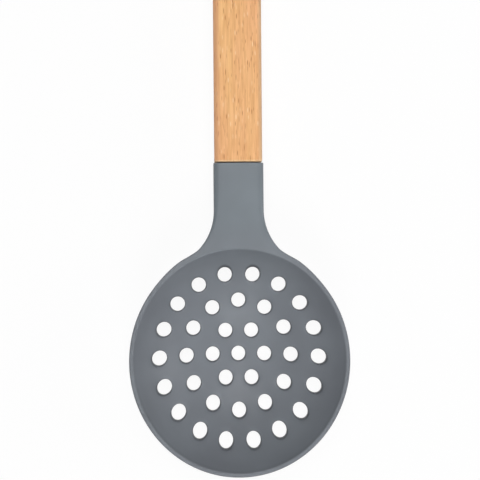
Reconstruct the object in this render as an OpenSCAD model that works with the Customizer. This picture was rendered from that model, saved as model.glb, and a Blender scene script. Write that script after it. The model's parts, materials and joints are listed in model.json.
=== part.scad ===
// Skimmer: a perforated silicone head moulded over a nylon core, glued into a beech handle.
// Everything is drawn with the rim in the plane z = 0, the dish below it and the handle along +Y.
// lay_down() then rests the whole skimmer on its dish and on the end of its handle.

/* [Head] */
// Width of the head across the rim
head_w = 110; // [96:1:126]
// Length of the head along the handle
head_l = 116; // [100:1:132]
// Depth of the dish inside, below the rim
dish_depth = 29; // [22:0.5:34]
// Wall of the dish, silicone and core together
dish_wall = 3; // [2.6:0.1:4]
// Width of the flat lip round the rim
lip_w = 2.3; // [1.8:0.1:3.2]
// Rounding of the lip's outer edge
lip_round = 0.7; // [0.3:0.1:1]

/* [Drain holes] */
// Diameter of a drain hole
hole_d = 7.6; // [5:0.1:8.5]
// Number of rings of holes round the middle hole
hole_rings = 3; // [1:1:3]
// Spacing of the rings across the head
ring_pitch_w = 13.6; // [12.5:0.1:14]
// Spacing of the rings along the head
ring_pitch_l = 14.4; // [13:0.1:14.8]

/* [Neck] */
// Width of the neck
neck_w = 24.9; // [22:0.1:30]
// Thickness of the neck where it meets the handle
neck_t = 16.5; // [14.5:0.1:20]
// Distance from the middle of the head to the handle
neck_reach = 98.7; // [92:0.1:115]
// Radius of the flare on each side, between the neck and the rim
flare_r = 26; // [20:0.5:30]
// Rounding of the neck's long edges
neck_round = 3; // [2:0.1:4]
// Bevel round the end of the neck
neck_bevel = 0.4; // [0.2:0.1:0.8]

/* [Core] */
// Silicone over each face of the core in the dish
skin_t = 0.8; // [0.5:0.05:0.9]
// Silicone lining of each drain hole
hole_lining = 0.8; // [0.5:0.1:1.2]
// Silicone beyond the edge of the core at the rim
rim_cover = 3.5; // [2.8:0.1:5]
// Silicone round the core in the neck
neck_cover = 2.2; // [1.8:0.1:3]
// Primer layer between the core and the silicone
primer_t = 0.05; // [0.02:0.01:0.1]

/* [Handle] */
// Length of the handle
handle_l = 190; // [140:1:240]
// Width of the handle
handle_w = 23.9; // [20:0.1:28]
// Thickness of the handle
handle_t = 15.5; // [14:0.1:19]
// Rounding of the handle's long edges
handle_round = 3; // [2:0.1:4.5]
// Bevel round the lower end of the handle
handle_bevel = 1; // [0.4:0.1:1.5]
// Rounding of the upper end's corners, seen from the front
end_corner_r = 9; // [5:0.5:10]
// Diameter of the hanging hole
hang_d = 7; // [4:0.1:9]
// Distance of the hanging hole from the upper end
hang_inset = 14; // [11:0.5:24]
// Bevel round each mouth of the hanging hole
hang_bevel = 0.8; // [0.3:0.1:1.2]

/* [Tang] */
// Diameter of the tang over its ribs
tang_d = 10; // [8:0.1:10.5]
// Length of the tang in the handle
tang_l = 44; // [30:1:60]
// Number of ribs on the tang
tang_ribs = 6; // [3:1:8]
// Depth of the grooves between the ribs
tang_groove = 0.8; // [0.4:0.1:1.2]
// Glue round the tang
glue_t = 0.5; // [0.2:0.05:0.8]
// Glue beyond the end of the tang
glue_end = 2; // [1:0.5:4]

/* [Hidden] */
$fn = 96;

wood_colour = [0.89, 0.69, 0.48];
silicone_colour = [0.46, 0.48, 0.51];
core_colour = [0.85, 0.84, 0.80];
glue_colour = [0.93, 0.90, 0.78];

// The dish is part of a ball, drawn out along Y into an oval
oval = head_l / head_w;
rim_r = head_w / 2;
mouth_r = rim_r - lip_w;
ball_r = (mouth_r * mouth_r + dish_depth * dish_depth) / (2 * dish_depth);
ball_z = ball_r - dish_depth;
back_r = ball_r + dish_wall;
lip_h = sqrt(back_r * back_r - rim_r * rim_r) - ball_z;
lowest = dish_depth + dish_wall;

// The flares are arcs that touch the neck's sides and a circle just inside the rim, so that they
// cross the rim's edge instead of grazing it
flare_dip = 0.1;
flare_seat = rim_r - flare_dip;
flare_x = neck_w / 2 + flare_r;
flare_y = sqrt(pow(flare_seat + flare_r, 2) - flare_x * flare_x);
flare_end = flare_seat * flare_y / (flare_seat + flare_r);

// The neck is lofted from its end face to its root, which is sunk a little into the dish's back
root_y = 0.8 * rim_r * oval;
root_dip = 0.25;
swell_y = flare_y * oval + 0.55 * (neck_reach - flare_y * oval);
loft_steps = 14;
arc_steps = 3;
belly_steps = 6;
bar_steps = 6;

handle_z = -neck_t / 2;
handle_end = neck_reach + handle_l;
bore_d = tang_d + 2 * glue_t;
bore_l = tang_l + glue_end;
drill_tip = bore_d / 2 / tan(59);
clear = 1;

// How the skimmer lies: the angle at which the dish and the handle's end touch the table together
foot_y = handle_end - handle_round;
foot_z = handle_z - handle_t / 2 + handle_round;
function dish_low(a) = norm([back_r * oval * sin(a), back_r * cos(a)]) - ball_z * cos(a);
function lie(a, turns) =
    turns == 0 ? a : lie(asin((dish_low(a) + foot_z * cos(a) - handle_round) / foot_y), turns - 1);
lie_a = lie(0, 6);
rest_z = dish_low(lie_a);
tip_y = -head_l / 2 * cos(lie_a) - lip_h * sin(lie_a);
end_y = handle_end * cos(lie_a) + (handle_z + handle_t / 2 - handle_round) * sin(lie_a);
mid_y = (tip_y + end_y) / 2;

// Depth of the dish's back below the rim, on the middle line
function back_depth(y) = sqrt(back_r * back_r - pow(y / oval, 2)) - ball_z;
function back_slope(y) = -y / oval / oval / sqrt(back_r * back_r - pow(y / oval, 2));

function ease(u) = u <= 0 ? 0 : u >= 1 ? 1 : u * u * (3 - 2 * u);
function along(y, from, to) = ease((y - from) / (to - from));

// Half width of the neck and its flares
function half_width(y) =
    let (v = y / oval)
    v >= flare_y ? neck_w / 2 :
    v >= flare_end ? flare_x - sqrt(flare_r * flare_r - pow(v - flare_y, 2)) :
    sqrt(flare_seat * flare_seat - v * v);

// Depth of the neck's back: a smooth curve from the dish's own slope to the full thickness
function neck_depth(y) =
    y >= swell_y ? neck_t :
    let (
        span = swell_y - root_y,
        u = (y - root_y) / span,
        start = back_depth(root_y) - root_dip,
        slope = 0.75 * back_slope(root_y) * span
    )
    start * (1 + 2 * u) * pow(1 - u, 2) + slope * u * pow(1 - u, 2) + neck_t * u * u * (3 - 2 * u);

// One section of the neck: a flat front with rounded edges, upright sides and a rounded back that
// goes from square-cornered at the handle to one full sweep at the dish
function section(y, inset) =
    let (
        grown = along(y, flare_end * oval, swell_y),
        w = half_width(y) - inset,
        depth = neck_depth(y) - inset,
        edge = lip_round + (neck_round - lip_round) * grown,
        side = lip_h + (depth - neck_round - lip_h) * grown,
        sweep = (w - clear) + (neck_round - w + clear) * grown,
        power = 2 - grown
    )
    concat(
        [for (i = [0:arc_steps]) let (a = 90 * i / arc_steps)
            [w - edge + edge * sin(a), y, edge * cos(a) - edge - inset]],
        [for (i = [belly_steps:-1:0]) let (a = 90 * i / belly_steps)
            [w - sweep + sweep * sin(a), y, -side - (depth - side) * pow(cos(a), power)]]
    );

function mirrored(half) = concat(half, [for (i = [len(half) - 1:-1:0]) [-half[i][0], half[i][1], half[i][2]]]);

// Loft through closed sections that all have the same number of points
module loft(sections) {
    count = len(sections[0]);
    last = len(sections) - 1;
    walls = [for (s = [0:last - 1], i = [0:count - 1])
        let (a = s * count + i, b = s * count + (i + 1) % count)
        each [[a, b + count, b], [a, a + count, b + count]]];
    caps = [[for (i = [0:count - 1]) i], [for (i = [count - 1:-1:0]) last * count + i]];
    polyhedron([for (s = sections) each s], concat(walls, caps));
}

module neck() {
    stations = [for (s = [0:loft_steps]) root_y + (swell_y - root_y) * s / loft_steps];
    shoulder = neck_reach - neck_bevel;
    loft([
        for (y = stations) mirrored(section(y, 0)),
        mirrored(section(shoulder, 0)),
        [for (p = mirrored(section(shoulder, neck_bevel))) [p[0], neck_reach, p[2]]]
    ]);
}

// Ball of the dish, drawn out into the oval
module oval_ball(r) {
    scale([1, oval, 1])
        translate([0, 0, ball_z])
            sphere(r);
}

// Oval plug with a rounded upper edge
module oval_plug(r, round) {
    scale([1, oval, 1])
        rotate_extrude()
            union() {
                translate([0, -lowest - clear]) square([r, lowest + clear - round]);
                translate([0, -lowest - clear]) square([r - round, lowest + clear]);
                translate([r - round, -round]) circle(round);
            }
}

// The drain holes: one in the middle and six more in each ring than in the last
module drain_holes(d) {
    for (ring = [0:hole_rings])
        let (count = max(1, 6 * ring))
            for (i = [0:count - 1])
                translate([
                    ring * ring_pitch_w * cos(360 * i / count),
                    ring * ring_pitch_l * sin(360 * i / count),
                    -lowest - clear
                ])
                    cylinder(d = d, h = lowest + 2 * clear);
}

// Turns a shape drawn along +Z so that it runs along +Y in the middle of the neck and handle
module along_handle(y) {
    translate([0, y, handle_z])
        rotate([-90, 0, 0])
            children();
}

// The ribbed tang, from inside the neck to its tip
module tang() {
    rib_pitch = tang_l / (tang_ribs + 0.5);
    along_handle(neck_reach)
        difference() {
            translate([0, 0, -clear]) cylinder(d = tang_d, h = tang_l + clear);
            for (i = [0:tang_ribs - 1])
                translate([0, 0, (i + 0.5) * rib_pitch])
                    difference() {
                        cylinder(d = tang_d + clear, h = rib_pitch / 2);
                        cylinder(d = tang_d - 2 * tang_groove, h = rib_pitch / 2);
                    }
        }
}

// Drilled hole for the tang, with the cone that the drill leaves
module tang_bore() {
    along_handle(neck_reach) {
        cylinder(d = bore_d, h = bore_l);
        translate([0, 0, bore_l]) cylinder(d1 = bore_d, d2 = 0, h = drill_tip);
    }
}

// The stiff bar in the neck, from the handle to the dish, grown on every side
module core_bar(grow) {
    first = root_y - grow;
    last = neck_reach + grow;
    front = [[last, grow - neck_cover], [first, grow - neck_cover]];
    back = [for (s = [0:bar_steps])
        let (
            y = first + (last - first) * s / bar_steps,
            thin = neck_cover * (1.6 - 0.6 * along(y, root_y, swell_y))
        )
        [y, thin - neck_depth(y) - grow]];
    rotate([90, 0, 90])
        linear_extrude(neck_w - 2 * neck_cover + 2 * grow, center = true)
            polygon(concat(front, back));
}

// The core's perforated dish and its bar, grown on every side
module core_body(grow) {
    difference() {
        union() {
            intersection() {
                oval_ball(back_r - skin_t + grow);
                oval_plug(rim_r - rim_cover + grow, lip_round);
            }
            core_bar(grow);
        }
        oval_ball(ball_r + skin_t - grow);
        drain_holes(hole_d + 2 * hole_lining - 2 * grow);
    }
}

// Everything inside the silicone's surface
module head_body() {
    difference() {
        union() {
            intersection() {
                oval_ball(back_r);
                oval_plug(rim_r, lip_round);
            }
            neck();
        }
        oval_ball(ball_r);
        drain_holes(hole_d);
    }
}

// Outline of the handle's section
module handle_section() {
    w = handle_w - 2 * handle_round;
    t = handle_t - 2 * handle_round;
    square([handle_w, t], center = true);
    square([w, handle_t], center = true);
    for (x = [-w / 2, w / 2], y = [-t / 2, t / 2])
        translate([x, y]) circle(handle_round);
}

// Side outline of the handle along +Y: bevelled at its lower end and round-cornered at its upper end
module handle_outline(w, corner) {
    polygon([
        [handle_bevel - w / 2, 0],
        [w / 2 - handle_bevel, 0],
        [w / 2, handle_bevel],
        [w / 2, handle_l - corner],
        [-w / 2, handle_l - corner],
        [-w / 2, handle_bevel]
    ]);
    translate([corner - w / 2, handle_l - 2 * corner]) square([w - 2 * corner, 2 * corner]);
    for (x = [corner - w / 2, w / 2 - corner])
        translate([x, handle_l - corner]) circle(corner);
}

// Hanging hole through the handle, bevelled at both mouths
module hang_hole() {
    translate([0, handle_end - hang_inset, handle_z]) {
        cylinder(d = hang_d, h = handle_t + clear, center = true);
        for (side = [0, 180])
            rotate([side, 0, 0])
                translate([0, 0, handle_t / 2 - hang_bevel])
                    cylinder(d1 = hang_d, d2 = hang_d + 2 * hang_bevel, h = hang_bevel);
    }
}

module lay_down() {
    translate([0, -mid_y, rest_z])
        rotate([-lie_a, 0, 0])
            children();
}

module wood_handle() {
    color(wood_colour)
        lay_down()
            difference() {
                intersection() {
                    along_handle(neck_reach) linear_extrude(handle_l) handle_section();
                    translate([0, neck_reach, handle_z])
                        linear_extrude(handle_t, center = true) handle_outline(handle_w, end_corner_r);
                    translate([0, neck_reach, handle_z])
                        rotate([0, 90, 0])
                            linear_extrude(handle_w, center = true) handle_outline(handle_t, handle_round);
                }
                tang_bore();
                hang_hole();
            }
}

module head_core() {
    color(core_colour)
        lay_down() {
            core_body(0);
            tang();
        }
}

module silicone_head() {
    color(silicone_colour)
        lay_down()
            difference() {
                head_body();
                core_body(primer_t);
            }
}

module tang_glue() {
    color(glue_colour)
        lay_down()
            difference() {
                tang_bore();
                tang();
            }
}

wood_handle();
head_core();
silicone_head();
tang_glue();
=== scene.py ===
"""Skimmer: a silicone head with oval drain holes on a beech handle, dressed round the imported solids."""

import json
import math
from collections import namedtuple

import bmesh
import bpy
from mathutils import Euler, Matrix, Vector
from mathutils.geometry import delaunay_2d_cdt
from mathutils.kdtree import KDTree


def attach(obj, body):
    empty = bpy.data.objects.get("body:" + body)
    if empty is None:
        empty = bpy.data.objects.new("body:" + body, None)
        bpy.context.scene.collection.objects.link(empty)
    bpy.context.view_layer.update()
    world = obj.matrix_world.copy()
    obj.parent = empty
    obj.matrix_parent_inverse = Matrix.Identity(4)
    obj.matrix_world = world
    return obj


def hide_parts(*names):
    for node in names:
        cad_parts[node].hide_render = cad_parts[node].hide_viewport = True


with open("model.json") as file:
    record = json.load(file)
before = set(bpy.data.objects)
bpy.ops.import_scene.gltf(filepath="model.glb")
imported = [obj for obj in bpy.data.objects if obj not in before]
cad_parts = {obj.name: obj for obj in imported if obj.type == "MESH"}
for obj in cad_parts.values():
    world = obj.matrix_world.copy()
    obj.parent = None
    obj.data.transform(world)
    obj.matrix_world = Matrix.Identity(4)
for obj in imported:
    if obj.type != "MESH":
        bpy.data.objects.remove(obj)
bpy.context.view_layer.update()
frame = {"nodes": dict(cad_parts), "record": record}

MM = 0.001

# Sizes in millimetres, drawn with the rim in the plane z = 0, the dish below it and the handle along +Y
HEAD_W = 110.0
HEAD_L = 116.0
DISH_DEPTH = 29.0
DISH_WALL = 3.0
LIP_W = 2.3
LIP_ROUND = 0.75
LIP_BACK_ROUND = 0.5
MOUTH_SOFTNESS = 0.6
# The rounding of the mouth's edge leaves the lip this much narrower
MOUTH_EASE = 0.3

HOLE_W = 7.25
HOLE_L = 7.75
HOLE_RINGS = 3
HOLES_ADDED_PER_RING = 6
RING_PITCH_W = 13.6
RING_PITCH_L = 14.4
HOLE_EDGE_W = 0.7
HOLE_EDGE_DEPTH = 1.8
HOLE_BACK_ROUND = 0.5
# The holes past this share of the outer ring, beside the root of the neck, are eased more on its side and
# get more painted shade there
ROOT_HOLE_SHARE = 0.95
ROOT_HOLE_EASE = 1.1

NECK_W = 24.9
NECK_T = 16.5
NECK_REACH = 98.7
NECK_ROUND = 3.0
NECK_END_ROUND = 0.4
FLARE_R = 26.0
# The neck's belly leaves the dish's back at this share of the head's half length, with this share of the
# slope there, and is full at this share of the way from the flares to the handle
ROOT_SHARE = 0.8
ROOT_SLOPE_SHARE = 0.75
SWELL_SHARE = 0.55
ROOT_DIP = 0.25
ROOT_BLEND = 2.0
ROOT_BLEND_SPAN = 8.0
BELLY_INSET = 1.0
# The shoulders, where the flares meet the rim, are filled out sideways between these places
SHOULDER_FILL = 1.65
SHOULDER_FROM = 35.0
SHOULDER_RISE = 16.0
SHOULDER_POWER = 2.2
SHOULDER_FALL = (49.5, 55.8)

HANDLE_L = 190.0
HANDLE_W = 23.9
HANDLE_T = 15.5
HANDLE_ROUND = 3.0
HANDLE_BEVEL = 1.0
END_CORNER_R = 9.0
HANG_D = 7.0
HANG_INSET = 14.0
HANG_ROUND = 0.8
# The shadow line between the neck and the handle, and the step at its wall
SEAM_W = 0.36
SEAM_DEPTH = 2.0
SEAM_STEP = 0.01

# Meshes: the spacing of what fills the head and the bar, its least gap, and the spacing along curves
FILL_STEP = 1.6
FILL_GAP = 0.75 * FILL_STEP
BAR_FILL_STEP = 3.2
BAR_FILL_GAP = 1.6
CURVE_STEP = 0.8
HOLE_STEPS = 32
RIM_STEPS = 240
MOUTH_OFFSETS = (-1.3, -0.75, -0.45, -0.2, 0.0, 0.2, 0.45, 0.75, 1.0, 1.25)
# Meshes: the turns of a rounded edge and the least turn of a sharp one, in degrees
EDGE_TURNS = (0, 12, 26, 42, 58, 74, 90)
HOLE_TURNS = (0, 15, 32, 50, 70, 90)
SHARP_TURN = 50
# Meshes: the name of the layer of painted shade, and how closely places are told apart
SHADE = "shade"
TINY = 1e-6
PLACE_DIGITS = 5

# Stage: the floor's size and height in metres, its tone, and the share of plain white in what is seen of it
FLOOR_SIZE = 12.0
FLOOR_Z = -0.0002
FLOOR_TONE = (0.9, 0.9, 0.9, 1)
FLOOR_WHITE = 0.93
WHITE = (1, 1, 1, 1)

# Lamps: azimuth and elevation in degrees round the head and power in watts; distance and size in metres
LAMPS = {"over": (90, 68, 13.7), "front": (270, 49, 10.6), "side": (0, 25, 6.5), "fill": (180, 25, 1.6)}
LAMP_DISTANCE = 1.5
LAMP_SIZE = 0.7

# Camera: its place in millimetres in the row frame, its turn in degrees, its lens and sensor in
# millimetres, and the nearest that it sees in metres
CAMERA_PLACE = (-13.64, -22.04, 474.71)
CAMERA_TURN = (-4.179, -1.833, -0.370)
CAMERA_LENS = 67.80
CAMERA_SENSOR = 36.0
CAMERA_NEAR = 0.01

# Patterns: the range of a noise that counts, a narrower one for the wood's marks, and the detail when fine
NOISE_RANGE = (0.3, 0.7)
MARK_RANGE = (0.35, 0.65)
FINE_DETAIL = 3.0

# Silicone: screen colours of dark and light places in the dish, lighter and warmer there as painted light,
# and, a little cooler, in the neck, and of the painted shade; sizes of clouds and grain in millimetres;
# bump as strength and depth in millimetres
DISH_DARK = (115, 119, 125)
DISH_LIGHT = (123, 128, 134)
NECK_DARK = (111, 118, 124)
NECK_LIGHT = (119, 127, 133)
SILICONE_PAINTED_SHADE = (58, 60, 63)
SILICONE_CLOUD = (28, 28, 28)
SILICONE_GRAIN = (0.45, 0.45, 0.45)
SILICONE_BUMP = (0.12, 0.05)
SILICONE_ROUGHNESS = (0.36, 0.44)
SILICONE_SHEEN = 0.18
# How far the painted shade at the holes' edges and in the two dark lines of the lip goes to the shade's
# colour, where those lines change in shares of the lip's width, and between which places along the head
# they fade
HOLE_EDGE_SHADE = 0.55
LIP_OUTER_SHADE = 0.22
LIP_INNER_SHADE = 0.12
LIP_OUTER_FALL = (0.1, 0.5)
LIP_INNER_RISE = (0.55, 0.8)
LIP_INNER_FALL = (1.0, 1.4)
LIP_SHADE_FADE = (-20.0, 30.0)

# Beech: screen colours
BEECH_YELLOW = (240, 190, 129)
BEECH_PINK = (237, 180, 130)
BEECH_FIBRE = (210, 148, 92)
BEECH_PORE = (172, 100, 48)
BEECH_PALE = (250, 222, 180)
BEECH_LEFT_BAND = (214, 154, 124)
BEECH_RIGHT_SHADE = (196, 168, 138)
SEAM_PAINTED_SHADE = (40, 28, 20)
# Beech: sizes of its marks in millimetres, long ones along the grain, and for flecks their shift in cells
WARMTH_SIZE = (8, 160, 8)
FIBRE_SIZE = (0.9, 24, 0.9)
LONG_PORES = ((0.75, 10, 0.75), (0, 0, 0))
SHORT_PORES = ((0.9, 7, 0.9), (0.37, 0.61, 0.23))
GLINTS = ((1.2, 7, 1.2), (0.71, 0.13, 0.47))
# Flecks: where in its cell one ends, and the range of cells from none to full strength
FLECK_EDGE = (0.12, 0.26)
FLECK_RANGE = (0.2, 0.8)
# Beech: how strongly each mark shows
FIBRE_STRENGTH = 0.6
PORE_STRENGTH = 0.85
GLINT_STRENGTH = 0.65
LEFT_BAND_STRENGTH = 0.45
RIGHT_SHADE_STRENGTH = 0.6
FOOT_HIGHLIGHT_STRENGTH = 0.4
# Beech: edges of the darker left band and of the painted shade on the right edge, from the middle line,
# and of the painted highlight on the foot, in millimetres
LEFT_BAND_EDGE = (-10.2, -8.4)
RIGHT_SHADE_EDGE = (9.6, 11.4)
FOOT_HIGHLIGHT_EDGE = (0.8, 1.12)
# Beech: the fibres' share in its bumps, their strength and depth in millimetres, its roughness and sheen
FIBRE_HEIGHT = 0.4
BEECH_BUMP = (0.25, 0.1)
BEECH_ROUGHNESS = (0.52, 0.64)
BEECH_SHEEN = 0.25

# Hidden pieces: material, dark and light colour, size of the mottle in millimetres and roughness
HIDDEN = {
    "head_core": ("nylon", (0.66, 0.64, 0.58, 1), (0.74, 0.72, 0.66, 1), 1.5, 0.45),
    "tang_glue": ("glue", (0.80, 0.75, 0.55, 1), (0.88, 0.83, 0.64, 1), 2.0, 0.4),
}
HIDDEN_BUMP = (0.1, 0.1)
HIDDEN_SHEEN = 0.5

# The dish is part of a ball, drawn out along Y into an oval, and its back is part of a larger one
OVAL = HEAD_L / HEAD_W
RIM_R = HEAD_W / 2
SEAT_R = RIM_R - LIP_W
MOUTH_R = SEAT_R + MOUTH_EASE
BALL_R = (MOUTH_R ** 2 + DISH_DEPTH ** 2) / (2 * DISH_DEPTH)
BALL_Z = BALL_R - DISH_DEPTH
BACK_R = (SEAT_R ** 2 + DISH_DEPTH ** 2) / (2 * DISH_DEPTH) + DISH_WALL
BACK_Z = BACK_R - DISH_WALL - DISH_DEPTH
LIP_H = math.sqrt(BACK_R ** 2 - RIM_R ** 2) - BACK_Z
ROOT_HOLE_Y = ROOT_HOLE_SHARE * HOLE_RINGS * RING_PITCH_L

# The flares are arcs that touch the neck's sides and the rim, drawn out like the dish
FLARE_X = NECK_W / 2 + FLARE_R
FLARE_Y = math.sqrt((RIM_R + FLARE_R) ** 2 - FLARE_X ** 2)
FLARE_END = RIM_R * FLARE_Y / (RIM_R + FLARE_R)
ROOT_Y = ROOT_SHARE * RIM_R * OVAL
SWELL_Y = FLARE_Y * OVAL + SWELL_SHARE * (NECK_REACH - FLARE_Y * OVAL)

HANDLE_Z = -NECK_T / 2
HANDLE_FOOT = NECK_REACH + SEAM_W
HANDLE_END = NECK_REACH + HANDLE_L
HANG_Y = HANDLE_END - HANG_INSET

# One point of a plan: the heights of the front and the back above it, and how much shade is painted there
Spot = namedtuple("Spot", "x y front back shade")


def ease(value, low, high):
    """Smooth step from 0 at low to 1 at high."""
    share = min(max((value - low) / (high - low), 0.0), 1.0)
    return share * share * (3 - 2 * share)


def blend_max(first, second, softness):
    """The larger of two heights, with the crease between them rounded."""
    if softness <= 0:
        return max(first, second)
    near = max(softness - abs(first - second), 0.0) / softness
    return max(first, second) + near * near * softness / 4


def rounded(distance, radius):
    """How far a rounded edge has dropped at this distance in from it."""
    short = min(max(radius - distance, 0.0), radius)
    return radius - math.sqrt(radius ** 2 - short ** 2)


def edge_step(width, depth, turn):
    """Distance in from a rounded edge after this turn, and the drop there."""
    angle = math.radians(turn)
    return width * (1 - math.cos(angle)), depth * (1 - math.sin(angle))


def edge_steps(radius):
    """Distances in from a rounded edge, and the drop at each."""
    return [edge_step(radius, radius, turn) for turn in EDGE_TURNS]


def shoulder(y):
    """How far the shoulder stands out past the rim and the flare."""
    rise = max((y - SHOULDER_FROM) / SHOULDER_RISE, 0.0) ** SHOULDER_POWER
    return SHOULDER_FILL * rise * (1 - ease(y, *SHOULDER_FALL))


def half_width(y):
    """Half the width of the head's upper part: rim, shoulders, flares and neck."""
    v = y / OVAL
    if v >= FLARE_Y:
        return NECK_W / 2
    if v >= FLARE_END:
        return FLARE_X - math.sqrt(FLARE_R ** 2 - (v - FLARE_Y) ** 2) + shoulder(y)
    return math.sqrt(RIM_R ** 2 - v * v) + shoulder(y)


def dish_front(x, y):
    """Height of the front: the dish, and the plane of the lip and the neck round it."""
    reach = BALL_R ** 2 - x * x - (y / OVAL) ** 2
    if reach <= 0:
        return 0.0
    return -blend_max(math.sqrt(reach) - BALL_Z, 0.0, MOUTH_SOFTNESS)


def dish_depth(x, y):
    """Depth of the dish's back below the rim, nowhere less than at the lip."""
    reach = BACK_R ** 2 - x * x - (y / OVAL) ** 2
    return max(math.sqrt(max(reach, 0.0)) - BACK_Z, LIP_H)


def neck_middle_depth(y):
    """Depth of the neck's back on the middle line, from the dish's back to the full thickness."""
    if y >= SWELL_Y:
        return NECK_T
    span = SWELL_Y - ROOT_Y
    u = (y - ROOT_Y) / span
    start = dish_depth(0, ROOT_Y) - ROOT_DIP
    dish_slope = -ROOT_Y / OVAL ** 2 / math.sqrt(BACK_R ** 2 - (ROOT_Y / OVAL) ** 2)
    slope = ROOT_SLOPE_SHARE * span * dish_slope
    return start * (1 + 2 * u) * (1 - u) ** 2 + slope * u * (1 - u) ** 2 + NECK_T * u * u * (3 - 2 * u)


def neck_grown(y):
    """How far the neck has gone from the dish's section to its own."""
    return ease(y, FLARE_END * OVAL, SWELL_Y)


def neck_depth(x, y):
    """Depth of the neck's back: upright sides and a rounded belly that squares up towards the handle."""
    grown = neck_grown(y)
    width = half_width(y)
    depth = neck_middle_depth(y)
    side = LIP_H + (depth - NECK_ROUND - LIP_H) * grown
    sweep = (width - BELLY_INSET) + (NECK_ROUND - width + BELLY_INSET) * grown
    share = min(max((abs(x) - width + sweep) / sweep, 0.0), 1.0)
    return side + (depth - side) * (1 - share * share) ** (1 - grown / 2)


def head_back(x, y):
    """Height of the head's back."""
    if y <= ROOT_Y:
        return -dish_depth(x, y)
    inwards = ease(half_width(y) - abs(x), 0, ROOT_BLEND_SPAN)
    softness = ROOT_BLEND * ease(y, ROOT_Y, ROOT_Y + ROOT_BLEND_SPAN) * inwards
    return -blend_max(dish_depth(x, y), neck_depth(x, y), softness)


def lip_shade(x, y):
    """Painted shade on the lip: a dark outer line, a pale one and a dark inner one, fading towards the
    neck.
    """
    share = (RIM_R - math.hypot(x, y / OVAL)) / LIP_W
    outer = LIP_OUTER_SHADE * (1 - ease(share, *LIP_OUTER_FALL))
    inner = LIP_INNER_SHADE * ease(share, *LIP_INNER_RISE) * (1 - ease(share, *LIP_INNER_FALL))
    return (outer + inner) * (1 - ease(y, *LIP_SHADE_FADE))


def head_spot(x, y, front_drop=0.0, back_drop=0.0, widen=1.0, shade=0.0):
    """Spot of the head; widen is the neck's full width over its width at a rounded end."""
    front = dish_front(x, y) - front_drop
    back = head_back(x * widen, y) + back_drop
    return Spot(x, y, front, back, max(shade, lip_shade(x, y)))


def handle_spot(x, y, drop=0.0, shade=0.0):
    """Spot of the handle, whose front and back are alike."""
    return Spot(x, y, HANDLE_Z + HANDLE_T / 2 - drop, HANDLE_Z - HANDLE_T / 2 + drop, shade)


def steps(low, high, step):
    """Evenly spaced values from low to high, about a step apart."""
    count = max(1, round((high - low) / step))
    return [low + (high - low) * i / count for i in range(count + 1)]


def columns(half, side_round):
    """Places from a bar's side to its middle line, and how far its rounded side has dropped at each."""
    side = [(half - distance, drop) for distance, drop in edge_steps(side_round)]
    return side + [(x, 0.0) for x in steps(0, half - side_round, FILL_STEP)[-2::-1]]


def both_sides(row):
    """A row of columns, and its mirror image."""
    return row + [(-x, drop) for x, drop in row]


def across(row, y):
    """Places of a row of columns from the left side to the right."""
    return [(-x, y) for x, _ in row if x > TINY] + [(x, y) for x, _ in reversed(row)]


def mirrored(half):
    """Closed loop from its right half, which runs up from the middle line to the middle line."""
    left = [(-x, y) for x, y in reversed(half) if x > TINY]
    return half + left


def normals(loop):
    """Unit normals of a closed loop, pointing to its inside where it runs counterclockwise."""
    found = []
    for i in range(len(loop)):
        along = Vector(loop[(i + 1) % len(loop)]) - Vector(loop[i - 1])
        found.append(Vector((-along.y, along.x)).normalized())
    return found


def key(x, y):
    """Name of a place on a plan, by which its spot is kept."""
    return round(x, PLACE_DIGITS), round(y, PLACE_DIGITS)


def keep(plan, spot):
    """Adds a spot to a plan, unless its place is taken."""
    plan.setdefault(key(spot.x, spot.y), spot)


def fill(plan, candidates, gap, holds, spot):
    """Adds spots at the candidates that lie on the plan, at least a gap from all that it has."""
    tree = KDTree(len(plan))
    for i, (x, y) in enumerate(plan):
        tree.insert((x, y, 0), i)
    tree.balance()
    for x, y in candidates:
        if holds(x, y) and tree.find((x, y, 0))[2] >= gap:
            keep(plan, spot(x, y))


def honeycomb(width, low, high, step):
    """Rows of points in a triangular pattern, symmetric about the middle line."""
    found = []
    row_step = step * math.sqrt(3) / 2
    for row in range(int((high - low) / row_step) + 1):
        shift = step / 2 * (row % 2)
        count = int((width / 2 - shift) / step)
        y = low + row * row_step
        for x in [shift + i * step for i in range(count + 1)]:
            found += [(x, y), (-x, y)] if x > 0 else [(x, y)]
    return found


def sides(face):
    """Sides of a face, each from one corner to the next."""
    return list(zip(face, face[1:] + face[:1]))


def faces_within(faces, walls):
    """The faces on the left of the walls, and all that join them without crossing a wall."""
    beside = {side: face for face in faces for side in sides(face)}
    closed = {frozenset(wall) for wall in walls}
    found, waiting = set(), [beside[wall] for wall in walls]
    while waiting:
        face = waiting.pop()
        if face in found:
            continue
        found.add(face)
        waiting += [beside[b, a] for a, b in sides(face) if frozenset((a, b)) not in closed]
    return [face for face in faces if face in found]


def plan_faces(plan, loops, creases):
    """Spots of a plan, faces by the numbers of their spots, and the walls along the loops.

    loops are the places round the plan's edges, outlines counterclockwise and holes clockwise,
    and creases are rows of places to be joined by edges.
    """
    spots = list(plan.values())
    number = {place: i for i, place in enumerate(plan)}
    edges = []
    for loop in loops:
        edges += sides([number[key(x, y)] for x, y in loop])
    joined = list(edges)
    for row in creases:
        run = [number[key(x, y)] for x, y in row]
        joined += zip(run, run[1:])
    flat = [Vector((spot.x, spot.y)) for spot in spots]
    _, _, faces, sources, _, _ = delaunay_2d_cdt(flat, joined, [], 0, TINY)
    corner = {source: i for i, group in enumerate(sources) for source in group}
    walls = [(corner[start], corner[end]) for start, end in edges]
    made_from = [spots[group[0]] for group in sources]
    return made_from, faces_within([tuple(face) for face in faces], walls), walls


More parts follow.
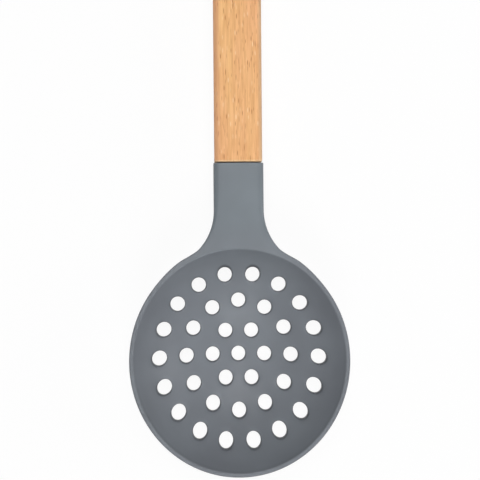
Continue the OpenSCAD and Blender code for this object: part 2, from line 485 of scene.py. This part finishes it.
def relief(name, plan, loops, creases):
    """Closed mesh between the front and the back over one plan."""
    spots, faces, walls = plan_faces(plan, loops, creases)
    mesh = bmesh.new()
    shade = mesh.verts.layers.float.new(SHADE)
    front = [mesh.verts.new(Vector((spot.x, spot.y, spot.front)) * MM) for spot in spots]
    back = [mesh.verts.new(Vector((spot.x, spot.y, spot.back)) * MM) for spot in spots]
    for vertex, spot in zip(front + back, spots + spots):
        vertex[shade] = spot.shade
    for face in faces:
        mesh.faces.new([front[i] for i in face])
        mesh.faces.new([back[i] for i in reversed(face)])
    for a, b in walls:
        mesh.faces.new((front[b], front[a], back[a], back[b]))
    for face in mesh.faces:
        face.smooth = True
    bmesh.ops.delete(mesh, geom=[v for v in mesh.verts if not v.link_faces], context="VERTS")
    data = bpy.data.meshes.new(name)
    mesh.to_mesh(data)
    mesh.free()
    data.set_sharp_from_angle(angle=math.radians(SHARP_TURN))
    piece = bpy.data.objects.new(name, data)
    bpy.context.scene.collection.objects.link(piece)
    return piece


def oval_loop(centre, width, length):
    """Clockwise loop of an oval hole."""
    turns = [-math.tau * i / HOLE_STEPS for i in range(HOLE_STEPS)]
    return [(centre[0] + width / 2 * math.cos(t), centre[1] + length / 2 * math.sin(t)) for t in turns]


def in_oval(x, y, centre, width, length):
    """Whether a point is in the opening of an oval hole."""
    share = math.hypot((x - centre[0]) * 2 / width, (y - centre[1]) * 2 / length)
    return share < math.cos(math.pi / HOLE_STEPS)


def drain_hole_centres():
    """One hole in the middle, and rings that each have some holes more than the last."""
    centres = [(0.0, 0.0)]
    for ring in range(1, HOLE_RINGS + 1):
        count = HOLES_ADDED_PER_RING * ring
        for i in range(count):
            turn = math.tau * i / count
            centres.append((ring * RING_PITCH_W * math.cos(turn), ring * RING_PITCH_L * math.sin(turn)))
    return centres


def add_drain_hole(plan, centre):
    """Adds the rounded edges of one drain hole to the head's plan, and gives its loop."""
    loop = oval_loop(centre, HOLE_W, HOLE_L)
    for x, y in loop:
        right, up = (x - centre[0]) * 2 / HOLE_W, (y - centre[1]) * 2 / HOLE_L
        root_share = up ** 2 if centre[1] > ROOT_HOLE_Y and up > 0 else 0.0
        width = HOLE_EDGE_W + ROOT_HOLE_EASE * root_share
        # Painted shade round the hole's edge, fuller on the neck's side of the holes beside its root
        dark = HOLE_EDGE_SHADE + (1 - HOLE_EDGE_SHADE) * root_share
        for turn in HOLE_TURNS:
            distance, drop = edge_step(width, HOLE_EDGE_DEPTH, turn)
            keep(plan, head_spot(x + right * distance, y + up * distance, drop,
                                 rounded(distance, HOLE_BACK_ROUND), shade=dark * (1 - distance / width)))
    return loop


def on_head(x, y):
    """Whether a point is on the head's plan."""
    if any(in_oval(x, y, centre, HOLE_W, HOLE_L) for centre in drain_hole_centres()):
        return False
    if y > SHOULDER_FROM:
        return abs(x) < half_width(y)
    return math.hypot(x, y / OVAL) < RIM_R


def head_curve():
    """Right half of the rim, the shoulder and the flare, from the lowest place up to the neck."""
    rim_turns = steps(-math.pi / 2, math.asin(FLARE_END / RIM_R), math.tau / RIM_STEPS)[1:]
    rim = [(RIM_R * math.cos(t), RIM_R * OVAL * math.sin(t)) for t in rim_turns]
    flare_turns = steps(math.asin((FLARE_Y - FLARE_END) / FLARE_R), 0, -CURVE_STEP / FLARE_R)[1:]
    flare = [(FLARE_X - FLARE_R * math.cos(t), OVAL * (FLARE_Y - FLARE_R * math.sin(t)))
             for t in flare_turns]
    return [(0.0, -RIM_R * OVAL)] + [(x + shoulder(y), y) for x, y in rim + flare]


def add_neck_end(plan):
    """Adds the neck's rounded end to the head's plan, and gives its right half and its rows."""
    corners, rows = [], []
    for distance, drop in reversed(edge_steps(NECK_END_ROUND)):
        y = NECK_REACH - distance
        narrow = 1 - drop / (NECK_W / 2)
        row = [(x * narrow, side_drop) for x, side_drop in columns(NECK_W / 2, NECK_ROUND)]
        corners.append((row[0][0], y))
        rows.append(across(row, y))
        for x, side_drop in both_sides(row):
            keep(plan, head_spot(x, y, drop + side_drop, drop, 1 / narrow))
    return corners + [(x, NECK_REACH) for x, _ in row[1:]], rows


def add_head_edges(plan, outline):
    """Adds the rounded edges from the rim to the neck's end, and gives their rows.

    The left half goes before the right, so that a row runs on over the lowest place.
    """
    steps_in = []
    for (x, y), inwards in sorted(zip(outline, normals(outline)), key=lambda pair: pair[0][0] >= 0):
        if y > NECK_REACH - NECK_END_ROUND - TINY:
            continue
        grown = neck_grown(y)
        steps_in.append([])
        for distance, drop in edge_steps(LIP_ROUND + (NECK_ROUND - LIP_ROUND) * grown):
            back_drop = rounded(distance, LIP_BACK_ROUND * (1 - grown))
            spot = head_spot(x + distance * inwards.x, y + distance * inwards.y, drop, back_drop)
            keep(plan, spot)
            steps_in[-1].append((spot.x, spot.y))
    return list(zip(*steps_in))


def add_mouth(plan):
    """Adds rows of spots along the edge of the dish's mouth to the head's plan."""
    for offset in MOUTH_OFFSETS:
        r = MOUTH_R + offset
        for i in range(RIM_STEPS):
            turn = math.tau * (i + 0.5) / RIM_STEPS
            keep(plan, head_spot(r * math.cos(turn), r * OVAL * math.sin(turn)))


def head_piece():
    """The moulded head: dish, lip, drain holes, flares and neck."""
    plan = {}
    end, end_rows = add_neck_end(plan)
    heights = steps(FLARE_Y * OVAL, NECK_REACH - NECK_END_ROUND, FILL_STEP)[1:-1]
    outline = mirrored(head_curve() + [(NECK_W / 2, y) for y in heights] + end)
    edge_rows = add_head_edges(plan, outline)
    holes = [add_drain_hole(plan, centre) for centre in drain_hole_centres()]
    add_mouth(plan)
    between = honeycomb(HEAD_W, -HEAD_L / 2, NECK_REACH, FILL_STEP)
    fill(plan, between, FILL_GAP, on_head, head_spot)
    return relief("moulded_head", plan, [outline] + holes, end_rows + edge_rows)


def on_handle(x, y):
    """Whether a point is on the handle's plan."""
    half = HANDLE_W / 2
    if in_oval(x, y, (0, HANG_Y), HANG_D, HANG_D) or y > HANDLE_END:
        return False
    if y < HANDLE_FOOT - SEAM_STEP / 2:
        return abs(x) < half - SEAM_DEPTH
    if y < HANDLE_FOOT + HANDLE_BEVEL:
        return abs(x) < half - rounded(y - HANDLE_FOOT, HANDLE_BEVEL)
    over = max(y - (HANDLE_END - END_CORNER_R), 0.0)
    return abs(x) < half - END_CORNER_R + math.sqrt(END_CORNER_R ** 2 - over ** 2)


def add_foot(plan):
    """Adds the seam and the eased foot to the handle's plan, and gives their right half and their rows."""
    half = HANDLE_W / 2
    heights = [(NECK_REACH, SEAM_DEPTH), (HANDLE_FOOT - SEAM_STEP, SEAM_DEPTH)]
    heights += [(HANDLE_FOOT + distance, drop) for distance, drop in edge_steps(HANDLE_BEVEL)]
    places, rows = [], []
    for y, drop in heights:
        row = [(x * (1 - drop / half), drop + side_drop) for x, side_drop in columns(half, HANDLE_ROUND)]
        places += [(x, y) for x, _ in reversed(row)] if y == NECK_REACH else [(row[0][0], y)]
        rows.append(across(row, y))
        for x, total in both_sides(row):
            # Spots in the seam's gap get painted shade
            keep(plan, handle_spot(x, y, total, shade=1.0 if y < HANDLE_FOOT else 0.0))
    return places, rows


def handle_curve():
    """Right half of the handle above its foot: side, corner and upper end."""
    half = HANDLE_W / 2
    heights = steps(HANDLE_FOOT + HANDLE_BEVEL, HANDLE_END - END_CORNER_R, FILL_STEP)[1:]
    turns = steps(0, math.pi / 2, CURVE_STEP / END_CORNER_R)[1:]
    corner = [(half - END_CORNER_R * (1 - math.cos(t)), HANDLE_END - END_CORNER_R * (1 - math.sin(t)))
              for t in turns]
    end = [(x, HANDLE_END) for x in steps(0, half - END_CORNER_R, FILL_STEP)[-2::-1]]
    return [(half, y) for y in heights] + corner + end


def add_hanging_hole(plan):
    """Adds the rounded edges of the hanging hole to the handle's plan, and gives its loop."""
    for turn in HOLE_TURNS:
        distance, drop = edge_step(HANG_ROUND, HANG_ROUND, turn)
        for x, y in oval_loop((0, HANG_Y), HANG_D + 2 * distance, HANG_D + 2 * distance):
            keep(plan, handle_spot(x, y, drop))
    return oval_loop((0, HANG_Y), HANG_D, HANG_D)


def handle_piece():
    """The beech handle, eased at its lower end, where a fine seam is left, and rounded at its upper end."""
    plan = {}
    foot, foot_rows = add_foot(plan)
    outline = mirrored(foot + handle_curve())
    for (x, y), inwards in zip(outline, normals(outline)):
        if y <= HANDLE_FOOT + HANDLE_BEVEL + TINY:
            continue
        for distance, drop in edge_steps(HANDLE_ROUND):
            keep(plan, handle_spot(x + distance * inwards.x, y + distance * inwards.y, drop))
    hole = add_hanging_hole(plan)
    between = honeycomb(HANDLE_W, NECK_REACH, HANDLE_END, BAR_FILL_STEP)
    fill(plan, between, BAR_FILL_GAP, on_handle, handle_spot)
    return relief("beech_bar", plan, [outline, hole], foot_rows)


def lying():
    """Where the drawing's frame lies in the row frame, worked out from the hanging hole."""
    mount = next(m for m in frame["record"]["mounts"] if m["name"] == "hanging_hole")
    tilt = Matrix.Rotation(-math.atan2(mount["axis"][1], mount["axis"][2]), 4, "X")
    hole = Vector((0, HANG_Y, HANDLE_Z)) * MM
    return Matrix.Translation(Vector(mount["pos_m"]) - tilt @ hole) @ tilt


def metres(sizes_mm):
    """Sizes in metres from millimetres."""
    return [size * MM for size in sizes_mm]


def set_inputs(tree, made, inputs):
    """Sets or links a node's inputs by name; a name like i2 is an input's place."""
    for name, value in inputs.items():
        by_place = name[0] == "i" and name[1:].isdigit()
        socket = made.inputs[int(name[1:]) if by_place else name]
        if isinstance(value, bpy.types.NodeSocket):
            tree.links.new(value, socket)
        else:
            socket.default_value = value


def node(tree, kind, **inputs):
    """New shader node with these inputs."""
    made = tree.nodes.new(kind)
    set_inputs(tree, made, inputs)
    return made


def new_material(name):
    """Empty material, with its node tree and output."""
    material = bpy.data.materials.new(name)
    material.use_nodes = True
    tree = material.node_tree
    tree.nodes.clear()
    return material, tree, tree.nodes.new("ShaderNodeOutputMaterial")


def own_place(tree):
    """The piece's own coordinates, in metres."""
    return tree.nodes.new("ShaderNodeTexCoord").outputs["Object"]


def stretched(tree, sizes_mm):
    """The piece's own coordinates, scaled so that a pattern repeats at about these sizes."""
    scale = [1 / size for size in metres(sizes_mm)]
    return node(tree, "ShaderNodeMapping", Vector=own_place(tree), Scale=scale).outputs["Vector"]


def noise(tree, sizes_mm, detail=2.0):
    """Noise with features of about these sizes."""
    made = node(tree, "ShaderNodeTexNoise", Vector=stretched(tree, sizes_mm), Scale=1.0, Detail=detail)
    return made.outputs["Fac"]


def math_node(tree, operation, first, second):
    """Result of one operation on two values."""
    made = node(tree, "ShaderNodeMath", i0=first, i1=second)
    made.operation = operation
    return made.outputs[0]


def ramp(tree, factor, low, high, first=0.0, last=1.0):
    """Maps factor from low..high to first..last, held at the ends."""
    made = node(tree, "ShaderNodeMapRange", i0=factor, i1=low, i2=high, i3=first, i4=last)
    return made.outputs[0]


def mix_colour(tree, factor, first, second):
    """Colour that goes from first to second with the factor."""
    made = tree.nodes.new("ShaderNodeMix")
    made.data_type = "RGBA"
    set_inputs(tree, made, {"i0": factor, "i6": first, "i7": second})
    return made.outputs[2]


def from_screen(colour):
    """Linear colour from the 0 to 255 values of a screen, by the usual screen curve."""
    def linear(value):
        share = value / 255
        return share / 12.92 if share <= 0.04045 else ((share + 0.055) / 1.055) ** 2.4
    return (*[linear(value) for value in colour], 1.0)


def from_foot(tree):
    """Distance along the handle from its lower end, in metres."""
    axis = lying().to_3x3() @ Vector((0, 1, 0))
    foot = lying() @ (Vector((0, HANDLE_FOOT, 0)) * MM)
    made = node(tree, "ShaderNodeVectorMath", i0=own_place(tree), i1=axis)
    made.operation = "DOT_PRODUCT"
    return math_node(tree, "SUBTRACT", made.outputs["Value"], axis.dot(foot))


def painted_shade_mask(tree):
    """Painted shade at the piece's edges and in its seam, from its mesh."""
    made = tree.nodes.new("ShaderNodeAttribute")
    made.attribute_name = SHADE
    return made.outputs["Fac"]


def add_surface(tree, output, colour, height, bump, roughness, sheen):
    """Ends a material in one surface, with bumps of this strength and depth."""
    strength, depth = bump
    bumps = node(tree, "ShaderNodeBump", Height=height, Strength=strength, Distance=depth * MM)
    shader = node(tree, "ShaderNodeBsdfPrincipled", **{
        "Base Color": colour, "Roughness": roughness, "Normal": bumps.outputs["Normal"],
        "Specular IOR Level": sheen})
    tree.links.new(shader.outputs[0], output.inputs["Surface"])


def silicone_material():
    """Matte moulded silicone with a fine surface grain and a faint change of tone; painted light makes the
    dish lighter and warmer than the neck, and painted shade darkens the holes' edges and lines along the
    lip.
    """
    material, tree, output = new_material("silicone")
    cloud = ramp(tree, noise(tree, SILICONE_CLOUD), *NOISE_RANGE)
    grain = noise(tree, SILICONE_GRAIN, FINE_DETAIL)
    dish = mix_colour(tree, cloud, from_screen(DISH_DARK), from_screen(DISH_LIGHT))
    neck = mix_colour(tree, cloud, from_screen(NECK_DARK), from_screen(NECK_LIGHT))
    # Painted light: the dish is made lighter and warmer than the neck
    cooler = ramp(tree, from_foot(tree), *metres((ROOT_Y - HANDLE_FOOT, FLARE_Y - HANDLE_FOOT)))
    colour = mix_colour(tree, cooler, dish, neck)
    # Painted shade at the holes' edges and in lines along the lip
    colour = mix_colour(tree, painted_shade_mask(tree), colour, from_screen(SILICONE_PAINTED_SHADE))
    rough = ramp(tree, grain, *NOISE_RANGE, *SILICONE_ROUGHNESS)
    add_surface(tree, output, colour, grain, SILICONE_BUMP, rough, SILICONE_SHEEN)
    return material


def flecks(tree, sizes_mm, shift):
    """Short dashes along the grain, some strong and some faint."""
    place = node(tree, "ShaderNodeVectorMath", i0=stretched(tree, sizes_mm), i1=shift).outputs[0]
    cells = node(tree, "ShaderNodeTexVoronoi", Vector=place, Scale=1.0)
    strength = node(tree, "ShaderNodeSeparateColor", Color=cells.outputs["Color"]).outputs[0]
    dash = ramp(tree, cells.outputs["Distance"], *FLECK_EDGE, 1.0, 0.0)
    return math_node(tree, "MULTIPLY", dash, ramp(tree, strength, *FLECK_RANGE))


def beech_material():
    """Oiled beech: soft bands along the grain, fine fibres, short dark pores, a darker left band, a painted
    highlight on the foot and painted shade on the right edge and in the seam.
    """
    material, tree, output = new_material("beech")
    fibres = noise(tree, FIBRE_SIZE, FINE_DETAIL)
    pores = math_node(tree, "MAXIMUM", flecks(tree, *LONG_PORES), flecks(tree, *SHORT_PORES))
    warmth = ramp(tree, noise(tree, WARMTH_SIZE), *MARK_RANGE)
    side = node(tree, "ShaderNodeSeparateXYZ", Vector=own_place(tree)).outputs["X"]
    colour = mix_colour(tree, warmth, from_screen(BEECH_YELLOW), from_screen(BEECH_PINK))
    marks = [
        (ramp(tree, fibres, *MARK_RANGE, 0.0, FIBRE_STRENGTH), BEECH_FIBRE),
        (math_node(tree, "MULTIPLY", flecks(tree, *GLINTS), GLINT_STRENGTH), BEECH_PALE),
        (math_node(tree, "MULTIPLY", pores, PORE_STRENGTH), BEECH_PORE),
        # A darker pinkish band along the left rounded edge
        (ramp(tree, side, *metres(LEFT_BAND_EDGE), LEFT_BAND_STRENGTH, 0.0), BEECH_LEFT_BAND),
        # Painted shade on the right rounded edge
        (ramp(tree, side, *metres(RIGHT_SHADE_EDGE), 0.0, RIGHT_SHADE_STRENGTH), BEECH_RIGHT_SHADE),
        # Painted highlight along the foot's bevel
        (ramp(tree, from_foot(tree), *metres(FOOT_HIGHLIGHT_EDGE), FOOT_HIGHLIGHT_STRENGTH, 0.0), BEECH_PALE),
        # Painted shade deepening the shadow in the seam's gap
        (painted_shade_mask(tree), SEAM_PAINTED_SHADE),
    ]
    for strength, mark in marks:
        colour = mix_colour(tree, strength, colour, from_screen(mark))
    height = math_node(tree, "SUBTRACT", math_node(tree, "MULTIPLY", fibres, FIBRE_HEIGHT), pores)
    rough = ramp(tree, fibres, *NOISE_RANGE, *BEECH_ROUGHNESS)
    add_surface(tree, output, colour, height, BEECH_BUMP, rough, BEECH_SHEEN)
    return material


def plain_material(name, dark, light, size_mm, roughness):
    """Material of a hidden piece: two close tones in a fine mottle."""
    material, tree, output = new_material(name)
    mottle = noise(tree, (size_mm, size_mm, size_mm), FINE_DETAIL)
    colour = mix_colour(tree, ramp(tree, mottle, *NOISE_RANGE), dark, light)
    add_surface(tree, output, colour, mottle, HIDDEN_BUMP, roughness, HIDDEN_SHEEN)
    return material


def dress(piece, material, node_name):
    """Puts a piece in its place, in the stead of a CAD node."""
    piece.data.materials.append(material)
    piece.data.transform(lying())
    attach(piece, "root")
    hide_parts(node_name)


def seen_directly(tree):
    """1 for rays from the camera, a mirror or a pane, and 0 for the light that falls on things."""
    path = tree.nodes.new("ShaderNodeLightPath").outputs
    shiny = math_node(tree, "MAXIMUM", path["Is Glossy Ray"], path["Is Transmission Ray"])
    return math_node(tree, "MAXIMUM", path["Is Camera Ray"], shiny)


def stage_floor():
    """White floor under the skimmer that shows only a breath of its shadow."""
    material, tree, output = new_material("floor")
    plain = node(tree, "ShaderNodeBsdfDiffuse", Color=FLOOR_TONE)
    white = node(tree, "ShaderNodeEmission", Color=WHITE, Strength=1.0)
    share = math_node(tree, "MULTIPLY", seen_directly(tree), FLOOR_WHITE)
    mixed = node(tree, "ShaderNodeMixShader", i0=share, i1=plain.outputs[0], i2=white.outputs[0])
    tree.links.new(mixed.outputs[0], output.inputs["Surface"])
    bpy.ops.mesh.primitive_plane_add(size=FLOOR_SIZE, location=(0, 0, FLOOR_Z))
    floor = bpy.context.object
    floor.name = "floor"
    floor.data.materials.append(material)


def studio_world():
    """Surroundings that are white where they are seen, in a reflection too, and shed no light besides."""
    world = bpy.data.worlds.new("studio")
    bpy.context.scene.world = world
    world.use_nodes = True
    tree = world.node_tree
    tree.nodes.clear()
    background = node(tree, "ShaderNodeBackground", Color=WHITE, Strength=seen_directly(tree))
    output = tree.nodes.new("ShaderNodeOutputWorld")
    tree.links.new(background.outputs[0], output.inputs["Surface"])


def lamp(name, azimuth, elevation, power):
    """Square soft lamp, aimed at the middle of the head."""
    target = lying().to_translation()
    level = math.cos(elevation)
    away = Vector((math.cos(azimuth) * level, math.sin(azimuth) * level, math.sin(elevation)))
    data = bpy.data.lights.new(name, "AREA")
    data.size = LAMP_SIZE
    data.energy = power
    made = bpy.data.objects.new(name, data)
    made.location = target + away * LAMP_DISTANCE
    made.rotation_euler = away.to_track_quat("Z", "Y").to_euler()
    bpy.context.scene.collection.objects.link(made)


def photo_camera():
    """Camera at the photograph's viewing angle, above the skimmer."""
    data = bpy.data.cameras.new("camera")
    data.sensor_width = CAMERA_SENSOR
    data.lens = CAMERA_LENS
    data.clip_start = CAMERA_NEAR
    camera = bpy.data.objects.new("camera", data)
    camera.location = Vector(CAMERA_PLACE) * MM
    camera.rotation_euler = Euler([math.radians(a) for a in CAMERA_TURN], "XYZ")
    bpy.context.scene.collection.objects.link(camera)
    bpy.context.scene.camera = camera


photo_camera()
studio_world()
stage_floor()
for name, (azimuth, elevation, power) in LAMPS.items():
    lamp(name, math.radians(azimuth), math.radians(elevation), power)

dress(head_piece(), silicone_material(), "silicone_head")
dress(handle_piece(), beech_material(), "wood_handle")
for name, look in HIDDEN.items():
    data = frame["nodes"][name].data
    data.materials.clear()
    data.materials.append(plain_material(*look))

bpy.context.scene.view_settings.view_transform = "Standard"
